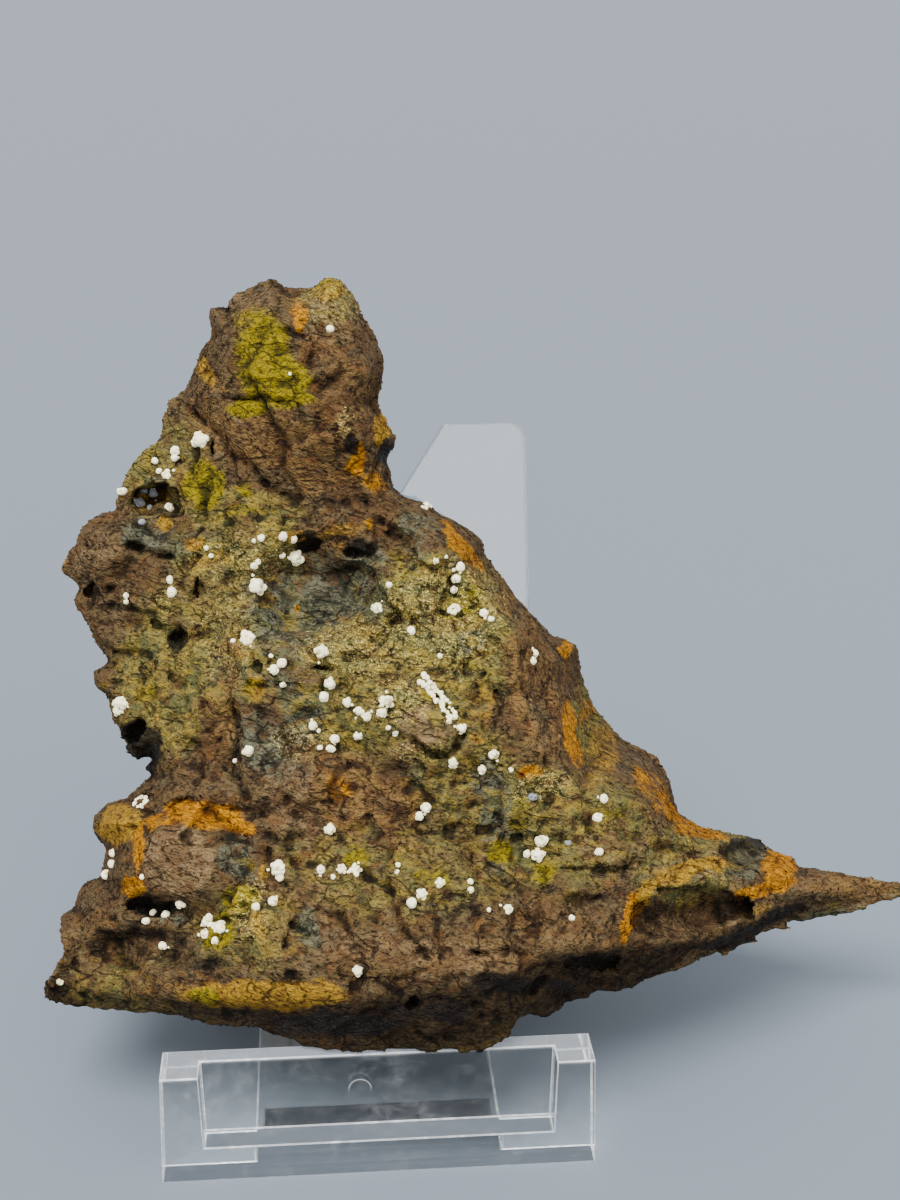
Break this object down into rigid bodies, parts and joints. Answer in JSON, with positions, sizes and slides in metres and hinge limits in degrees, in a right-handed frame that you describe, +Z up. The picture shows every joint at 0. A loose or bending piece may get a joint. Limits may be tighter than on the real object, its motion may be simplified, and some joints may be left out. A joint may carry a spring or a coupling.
{
  "type": "fluorapatite specimen on a stand",
  "caption": "Brown crusted limonite with small white botryoidal fluorapatite balls, leaning on a clear moulded display stand.",
  "frame": {"origin": "middle of the stand's flat underside", "axes": "+Z up, +X to the right along the stand's front bar, +Y to the back, so the front looks along -Y"},
  "size_m": [0.1021, 0.0542, 0.0883],
  "materials": {
    "stone": "rough, earthy brown with ochre, orange and yellow-green crusts and white balls",
    "clear_plastic": "clear moulded polystyrene, slightly dusty along its top edges"
  },
  "bodies": {
    "root": {"stone": "stone", "stand": "clear_plastic"}
  },
  "joints": []
}
